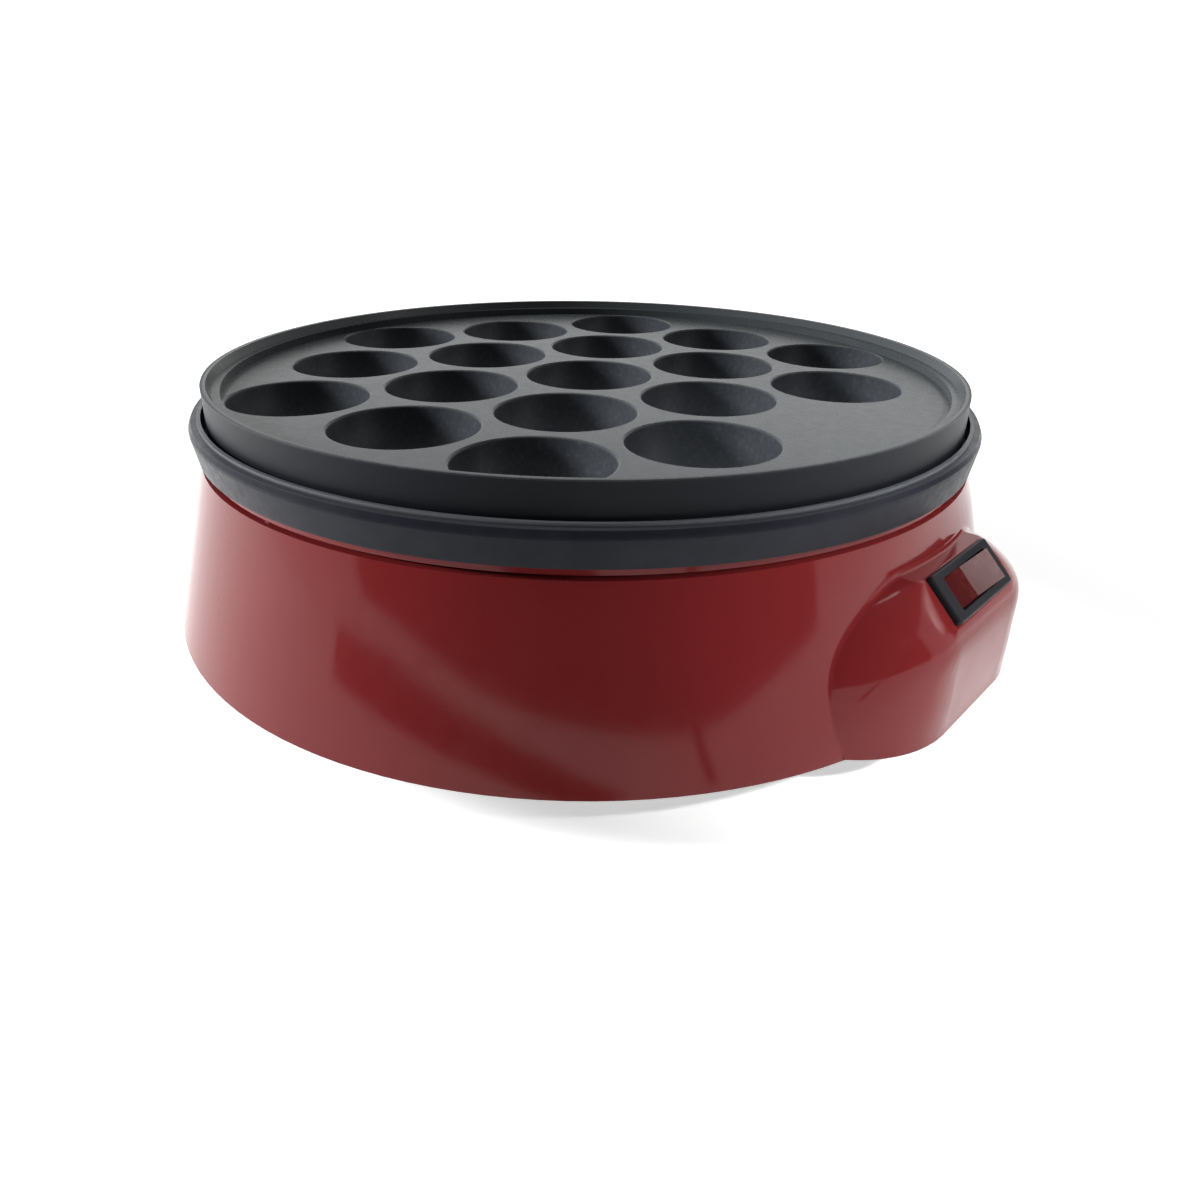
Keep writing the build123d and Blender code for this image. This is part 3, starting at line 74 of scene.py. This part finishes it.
# ---------------------------------------------------------------- materials
class Finish:
    """A procedural material: one Principled shader and the nodes that feed it."""

    def __init__(self, name, material=None, **values):
        self.material = material or bpy.data.materials.new(name)
        self.material.use_nodes = True
        self.tree = self.material.node_tree
        self.shader = self.tree.nodes["Principled BSDF"]
        self.place = self.tree.nodes.new("ShaderNodeTexCoord").outputs["Object"]
        for key, value in values.items():
            self.set(key.replace("_", " "), value)

    def around(self, centre, start, end, high):
        """A value that falls from high to 0 with the distance from a point."""
        node = self.tree.nodes.new("ShaderNodeVectorMath")
        node.operation = "DISTANCE"
        node.inputs[1].default_value = centre
        self.link(self.place, node.inputs[0])
        return self.spread(node.outputs["Value"], high, 0.0, start, end)

    def set(self, key, value):
        """Set one of the shader's own sockets by its plain name."""
        socket = next(s for s in self.shader.inputs if s.name.lower() == key.lower())
        if isinstance(value, tuple) and len(value) == 3:
            value = (*value, 1.0)
        socket.default_value = value

    def link(self, out, into):
        """Join two sockets."""
        self.tree.links.new(out, into)

    def noise(self, scale, detail=4.0, roughness=0.55, stretch=(1, 1, 1)):
        """A noise field with scale in features per metre."""
        mapping = self.tree.nodes.new("ShaderNodeMapping")
        mapping.inputs["Scale"].default_value = stretch
        self.link(self.place, mapping.inputs["Vector"])
        node = self.tree.nodes.new("ShaderNodeTexNoise")
        node.inputs["Scale"].default_value = scale
        node.inputs["Detail"].default_value = detail
        node.inputs["Roughness"].default_value = roughness
        self.link(mapping.outputs["Vector"], node.inputs["Vector"])
        return node.outputs["Fac"]

    def spread(self, field, low, high, start=0.35, end=0.65):
        """Turn a field into a value between low and high."""
        node = self.tree.nodes.new("ShaderNodeMapRange")
        node.inputs["From Min"].default_value = start
        node.inputs["From Max"].default_value = end
        node.inputs["To Min"].default_value = low
        node.inputs["To Max"].default_value = high
        self.link(field, node.inputs["Value"])
        return node.outputs["Result"]

    def colours(self, field, stops):
        """Base colour from a field through a ramp of (position, colour) stops."""
        ramp = self.tree.nodes.new("ShaderNodeValToRGB")
        while len(ramp.color_ramp.elements) < len(stops):
            ramp.color_ramp.elements.new(0.5)
        for element, (position, colour) in zip(ramp.color_ramp.elements, stops):
            element.position = position
            element.color = (*colour, 1.0)
        self.link(field, ramp.inputs["Fac"])
        self.link(ramp.outputs["Color"], self.shader.inputs["Base Color"])

    def along(self, direction, start, end, low=0.0, high=1.0):
        """A value that runs from low at start to high at end along a direction, in metres."""
        dot = self.tree.nodes.new("ShaderNodeVectorMath")
        dot.operation = "DOT_PRODUCT"
        dot.inputs[1].default_value = direction
        self.link(self.place, dot.inputs[0])
        return self.spread(dot.outputs["Value"], low, high, start, end)

    def away(self, axes, start, end):
        """A value that runs from 0 to 1 with the distance from the origin along some axes."""
        flat = self.tree.nodes.new("ShaderNodeVectorMath")
        flat.operation = "MULTIPLY"
        flat.inputs[1].default_value = axes
        self.link(self.place, flat.inputs[0])
        length = self.tree.nodes.new("ShaderNodeVectorMath")
        length.operation = "LENGTH"
        self.link(flat.outputs["Vector"], length.inputs[0])
        return self.spread(length.outputs["Value"], 0.0, 1.0, start, end)

    def product(self, one, other):
        """Two fields multiplied."""
        node = self.tree.nodes.new("ShaderNodeMath")
        node.operation = "MULTIPLY"
        self.link(one, node.inputs[0])
        self.link(other, node.inputs[1])
        return node.outputs["Value"]

    def blend_colour(self, field, over):
        """Mix another colour over the base colour where a field is 1."""
        socket = self.shader.inputs["Base Color"]
        mix = self.tree.nodes.new("ShaderNodeMix")
        mix.data_type = "RGBA"
        under = socket.links[0].from_socket
        self.link(field, mix.inputs["Factor"])
        self.link(under, mix.inputs[6])
        mix.inputs[7].default_value = (*over, 1.0)
        self.link(mix.outputs[2], socket)

    def rough(self, field, low, high):
        """Roughness between low and high from a field."""
        self.link(self.spread(field, low, high), self.shader.inputs["Roughness"])

    def bump(self, field, depth, strength=1.0, under=None):
        """Bump of a depth in metres, stacked on another bump if one is given."""
        node = self.tree.nodes.new("ShaderNodeBump")
        node.inputs["Strength"].default_value = strength
        node.inputs["Distance"].default_value = depth
        self.link(field, node.inputs["Height"])
        if under is not None:
            self.link(under, node.inputs["Normal"])
        return node.outputs["Normal"]

    def normal(self, out):
        """Let a bump shape the shader's normal."""
        self.link(out, self.shader.inputs["Normal"])


def shade(colour, factor):
    """The same colour, lighter or darker."""
    return tuple(min(1.0, channel * factor) for channel in colour)


def body_red():
    """High-gloss moulded plastic with the faint waviness of a moulded wall."""
    red = (0.136, 0.0130, 0.0138)
    finish = Finish("body_red", ior=1.37)
    finish.set("specular tint", (1.0, 0.80, 0.79))
    broad = finish.noise(14, detail=2)
    finish.colours(broad, [(0.3, shade(red, 0.93)), (0.7, shade(red, 1.06))])
    finish.rough(finish.noise(240, detail=5), 0.08, 0.12)
    wave = finish.bump(finish.noise(26, detail=1), 0.00012, 0.5)
    finish.normal(finish.bump(finish.noise(900, detail=2), 0.000006, 0.4, under=wave))
    return finish.material


def nonstick():
    """Dark non-stick coating over a die casting: fine pebble, a grey sheen on the flat top that
    is partly real from lower roughness and partly painted as a lighter colour, and painted shade
    on the rim's outer wall.
    """
    dark = (0.029, 0.032, 0.037)
    finish = Finish("plate_nonstick", ior=1.5)
    finish.set("specular ior level", 0.16)
    grain = finish.noise(700, detail=6, roughness=0.6)
    finish.colours(grain, [(0.3, shade(dark, 0.8)), (0.55, dark), (0.72, shade(dark, 1.5))])
    # Painted shade: the rim's outer wall gets a darker colour that stands in for its dark
    # reflection.
    wall = finish.product(
        finish.away((1, 1, 0), PLATE_RADIUS - 0.45 * MM, PLATE_RADIUS - 0.3 * MM),
        finish.along((0, 0, 1), PLATE_TOP - 0.3 * MM, PLATE_TOP - 0.5 * MM),
    )
    finish.blend_colour(wall, (0.010, 0.011, 0.014))
    # Painted sheen: the flat top faces get a lighter colour that stands in for their grey
    # reflection; their roughness is also lowered below.
    land_sheen = finish.product(
        finish.along((0, 0, 1), COOK_LEVEL - 0.5 * MM, COOK_LEVEL - 0.1 * MM),
        finish.away((1, 1, 0), PLATE_RADIUS - 0.5 * MM, PLATE_RADIUS - 0.9 * MM),
    )
    finish.blend_colour(land_sheen, (0.044, 0.049, 0.052))
    polish = finish.product(land_sheen, finish.spread(finish.noise(320, detail=4), 0.7, 1.0))
    finish.link(finish.spread(polish, 0.42, 0.25, 0.0, 1.0), finish.shader.inputs["Roughness"])
    cast = finish.bump(finish.noise(90, detail=3), 0.00008, 0.3)
    finish.normal(finish.bump(finish.noise(1500, detail=3), 0.00002, 0.5, under=cast))
    return finish.material


def collar_black():
    """Satin black moulding with a fine spark-eroded grain and a painted highlight on its top
    lip.
    """
    dark = (0.012, 0.013, 0.018)
    finish = Finish("collar_black", ior=1.48)
    finish.set("specular ior level", 0.14)
    finish.colours(
        finish.noise(120, detail=5), [(0.3, shade(dark, 0.85)), (0.7, shade(dark, 1.2))]
    )
    # Painted highlight: a lighter grey band along the top lip stands in for its bright edge
    # highlight.
    bead_highlight = finish.along((0, 0, 1), COLLAR_TOP - 1.1 * MM, COLLAR_TOP - 0.4 * MM)
    finish.blend_colour(bead_highlight, (0.10, 0.105, 0.115))
    finish.rough(finish.noise(420, detail=4), 0.30, 0.40)
    finish.normal(finish.bump(finish.noise(1300, detail=3), 0.00003, 0.5))
    return finish.material


def moulded(name, colour, low, high, grain=900, depth=0.00003, gloss=0.5):
    """Plain moulded plastic or rubber."""
    finish = Finish(name, ior=1.48)
    finish.set("specular ior level", gloss)
    finish.colours(
        finish.noise(110, detail=5), [(0.3, shade(colour, 0.85)), (0.7, shade(colour, 1.15))]
    )
    finish.rough(finish.noise(grain / 2, detail=4), low, high)
    finish.normal(finish.bump(finish.noise(grain, detail=3), depth, 0.6))
    return finish.material


def metal(name, colour, low, high, stretch=(1, 1, 1), grain=600, tarnish=0.8):
    """Bare or plated metal with drawn grain and slight tarnish."""
    finish = Finish(name, metallic=1.0)
    finish.colours(
        finish.noise(60, detail=6, roughness=0.65),
        [(0.3, shade(colour, tarnish)), (0.6, colour), (0.8, shade(colour, 1.1))],
    )
    finish.rough(finish.noise(grain, detail=5, stretch=stretch), low, high)
    finish.normal(finish.bump(finish.noise(grain * 2, detail=3, stretch=stretch), 0.00001, 0.5))
    return finish.material


def rocker_red():
    """Translucent red rocker with a neon lamp glowing under its pressed half."""
    red = (0.055, 0.007, 0.008)
    finish = Finish("rocker_red", ior=1.41)
    finish.colours(finish.noise(300, detail=3), [(0.3, shade(red, 0.9)), (0.7, shade(red, 1.1))])
    finish.rough(finish.noise(800, detail=3), 0.12, 0.20)
    finish.normal(finish.bump(finish.noise(500, detail=2), 0.00002, 0.4))
    pressed = finish.along((1, 0, 0), 0.4 * MM, -0.2 * MM)
    near = finish.along((1, 0, 0), -8.0 * MM, 0.0, 0.04, 1.0)
    mottle = finish.spread(finish.noise(420, detail=3), 0.15, 1.0, 0.4, 0.62)
    glow = finish.product(finish.product(pressed, near), mottle)
    finish.link(glow, finish.shader.inputs["Emission Strength"])
    finish.set("emission color", (0.040, 0.012, 0.008))
    return finish.material


def glass():
    """The lamp's bulb."""
    finish = Finish("lamp_glass", ior=1.45)
    finish.set("transmission weight", 0.9)
    finish.colours(finish.noise(500), [(0.3, (0.95, 0.5, 0.3)), (0.7, (1.0, 0.6, 0.4))])
    finish.rough(finish.noise(700), 0.03, 0.08)
    return finish.material


def make_finishes():
    """One material for each slot of the record."""
    made = {
        "plate_nonstick": nonstick(),
        "collar_black": collar_black(),
        "body_red": body_red(),
        "rocker_red": rocker_red(),
        "lamp_glass": glass(),
        "cover_black": moulded("cover_black", (0.024, 0.024, 0.026), 0.42, 0.55),
        "foot_rubber": moulded("foot_rubber", (0.035, 0.035, 0.036), 0.6, 0.78, grain=700),
        "bush_rubber": moulded("bush_rubber", (0.022, 0.022, 0.023), 0.5, 0.65),
        "switch_black": moulded("switch_black", (0.012, 0.012, 0.015), 0.34, 0.44, gloss=0.2),
        "plunger_white": moulded("plunger_white", (0.75, 0.74, 0.70), 0.35, 0.5),
        "seal_ceramic": moulded("seal_ceramic", (0.78, 0.76, 0.70), 0.5, 0.7),
        "lead_red": moulded("lead_red", (0.42, 0.02, 0.02), 0.35, 0.5),
        "lead_white": moulded("lead_white", (0.72, 0.72, 0.70), 0.35, 0.5),
        "lead_green": moulded("lead_green", (0.10, 0.36, 0.08), 0.35, 0.5),
        "screw_steel": metal("screw_steel", (0.60, 0.60, 0.62), 0.25, 0.4),
        "pan_steel": metal("pan_steel", (0.66, 0.67, 0.68), 0.3, 0.42, stretch=(1, 12, 1)),
        "element_steel": metal("element_steel", (0.36, 0.33, 0.30), 0.4, 0.55, tarnish=0.6),
        "contact_brass": metal("contact_brass", (0.75, 0.56, 0.26), 0.2, 0.35),
        "strap_steel": metal("strap_steel", (0.58, 0.58, 0.59), 0.3, 0.42, stretch=(1, 8, 1)),
        "fuse_body": metal("fuse_body", (0.66, 0.65, 0.62), 0.3, 0.42),
        "spring_steel": metal("spring_steel", (0.58, 0.58, 0.60), 0.2, 0.3),
    }
    return made


def paint_nodes(finishes):
    """Give every carried-over CAD node the material of its slot."""
    for node in nodes.values():
        slot_names = [material.name.split(".")[0] for material in node.data.materials]
        for index, name in enumerate(slot_names):
            node.data.materials[index] = finishes[name]


# ---------------------------------------------------------------- stage
def stage_object(name, mesh_maker):
    """An object of the set, made by a function that fills a bmesh."""
    mesh = bpy.data.meshes.new(name)
    form = bmesh.new()
    mesh_maker(form)
    form.to_mesh(mesh)
    form.free()
    made = bpy.data.objects.new(name, mesh)
    scene.collection.objects.link(made)
    return made


# foot of the dark room on the camera's side: azimuth in degrees and level in mm
ROOM_EDGE = [
    (-101, 60), (-98, 46), (-89, 41), (-79, 32), (-69, 22), (-57, 14), (-47, 9),
    (-30, 3), (-21, 4), (-11, 13), (-2, 21), (3, 28), (4, 50),
]
# a broad soft shadow and a narrow one that lie across the floor, near and far edge in mm
SHADOW_EDGES = [
    [(-352, 78), (-327, -1), (-290, -60), (-244, -103), (-202, -121), (-150, -138)],
    [(-640, 215), (-735, 60), (-574, -98), (-402, -168), (-271, -189), (-150, -172)],
]
STREAK_EDGES = [[(-200, -400), (-110, -200)], [(-186, -400), (-101, -200)]]
CARD_LEVEL = 0.6                # floor cards above the floor in mm
SIDE_EDGE = [(215, -345), (265, -250), (300, -150)]
ROOM_RADIUS = 400
ROOM_HEIGHT = 1500
BACKDROP_RADIUS = 4000
# a soft glow beside the switch bulge: its middle and its core and edge radius in metres
GLIMMER_PLACE = (0.486, -0.770, 0.569)
GLIMMER_CORE = 0.05
GLIMMER_EDGE = 0.26
GLIMMER_STRENGTH = 5.0
SWITCH_PLACE = (0, -0.128, 0.044)


def make_floor():
    """A plain pale floor with painted light: it glows, less near the object and brighter away
    from it.
    """
    size = 6.0

    def fill(form):
        bmesh.ops.create_grid(form, x_segments=1, y_segments=1, size=size)

    floor = stage_object("floor", fill)
    floor.location.z = -0.0003
    finish = Finish("floor_pale", roughness=0.6)
    finish.set("specular ior level", 0.2)
    finish.colours(finish.noise(3), [(0.3, (0.86, 0.86, 0.86)), (0.7, (0.90, 0.90, 0.90))])
    # Painted light: the floor's glow runs from 0.55 near the object to full strength 0.6 m out.
    glow = finish.spread(finish.away((1, 1, 0), 0.17, 0.6), 0.55, 1.0, 0.0, 1.0)
    finish.link(glow, finish.shader.inputs["Emission Strength"])
    finish.set("emission color", (1.0, 1.0, 1.0))
    floor.data.materials.append(finish.material)


def glowing(name, colour, strength):
    """An even emitter for backdrops and cards."""
    finish = Finish(name, roughness=1.0)
    finish.set("specular ior level", 0.0)
    finish.set("base color", (0, 0, 0))
    finish.set("emission color", colour)
    finish.set("emission strength", strength)
    return finish


def card(name, rows, material):
    """A sheet of the set between two rows of points, hidden from diffuse light, shadows and
    transmission.
    """

    def fill(form):
        lower, upper = ([form.verts.new(Vector(p) * MM) for p in row] for row in rows)
        pairs = list(zip(lower, upper))
        for (a, b), (c, d) in zip(pairs, pairs[1:]):
            form.faces.new((a, c, d, b))

    made = stage_object(name, fill)
    made.data.materials.append(material)
    made.visible_diffuse = False
    made.visible_shadow = False
    made.visible_transmission = False
    return made


def on_ring(radius, azimuth, level):
    """A point at an azimuth in degrees from the switch's side, in mm."""
    turn = math.radians(azimuth)
    return (radius * math.sin(turn), -radius * math.cos(turn), level)


def on_floor(rows):
    """Rows of points in mm laid just above the floor."""
    return [[(x, y, CARD_LEVEL) for x, y in row] for row in rows]


def hang(name, data, place, target):
    """Put a lamp at a place and aim it at a point."""
    lamp = bpy.data.objects.new(name, data)
    scene.collection.objects.link(lamp)
    lamp.location = place
    lamp.rotation_euler = (Vector(place) - Vector(target)).to_track_quat("Z", "Y").to_euler()
    return lamp


def area_light(name, place, target, size, power):
    """A soft box aimed at a point."""
    data = bpy.data.lights.new(name, "AREA")
    data.shape = "RECTANGLE"
    data.size, data.size_y = size
    data.energy = power
    return hang(name, data, place, target)


def spot_light(name, place, target, angle, power, radius=0.08):
    """A narrow soft lamp that doesn't show in reflections."""
    data = bpy.data.lights.new(name, "SPOT")
    data.spot_size = math.radians(angle)
    data.spot_blend = 1.0
    data.shadow_soft_size = radius
    data.energy = power
    hang(name, data, place, target).visible_glossy = False


def make_world():
    """Dim surroundings above the backdrop."""
    world = bpy.data.worlds.new("studio")
    scene.world = world
    world.use_nodes = True
    tree = world.node_tree
    background = tree.nodes["Background"]
    background.inputs["Color"].default_value = (1, 1, 1, 1)
    background.inputs["Strength"].default_value = 0.10


def make_stage():
    """White surroundings, dark on the camera's side as the object's reflections show."""
    make_world()
    make_floor()
    white = glowing("backdrop_white", (1, 1, 1), 1.1).material
    turns = range(0, 361, 5)
    card(
        "backdrop",
        [[on_ring(BACKDROP_RADIUS, turn, level) for turn in turns] for level in (-20, 4000)],
        white,
    )
    dark = glowing("card_dark", (1, 1, 1), 0.0).material
    room = card(
        "card_room",
        [
            [on_ring(ROOM_RADIUS, azimuth, level) for azimuth, level in ROOM_EDGE],
            [on_ring(ROOM_RADIUS, azimuth, ROOM_HEIGHT) for azimuth, level in ROOM_EDGE],
        ],
        dark,
    )
    shadow = card("card_shadow", on_floor(SHADOW_EDGES), dark)
    streak = card("card_streak", on_floor(STREAK_EDGES), dark)
    side = card("card_side", [[(x, y, z) for x, y in SIDE_EDGE] for z in (70, 200)], dark)
    for made in (room, shadow, streak, side):
        made.visible_camera = False
    spot_light("key", (-1.20, 1.45, 0.60), (-0.05, 0.03, 0.04), 22.0, 360.0, 0.22)
    area_light("top", (0.15, 0.35, 1.30), (0, 0, 0.05), (0.7, 0.7), 6.0)
    fill = area_light("fill", (0.48, -0.81, 0.61), (0, -0.13, 0.04), (0.45, 0.45), 1.0)
    fill.visible_glossy = False
    glimmer = glowing("card_glimmer", (1, 0.97, 0.95), GLIMMER_STRENGTH)
    fade = glimmer.around(GLIMMER_PLACE, GLIMMER_CORE, GLIMMER_EDGE, GLIMMER_STRENGTH)
    glimmer.link(fade, glimmer.shader.inputs["Emission Strength"])
    card(
        "card_glimmer",
        [
            [(486 + 29 * k, -770 + 8 * k, level - 5 * k) for k in range(10)]
            for level in (360, 780)
        ],
        glimmer.material,
    ).visible_camera = False
    spot_light("bulge", (-0.10, -0.85, 0.75), SWITCH_PLACE, 7.0, 175.0)


# ---------------------------------------------------------------- build
scene.view_settings.view_transform = "Standard"
make_camera()
finishes = make_finishes()
paint_nodes(finishes)
make_stage()
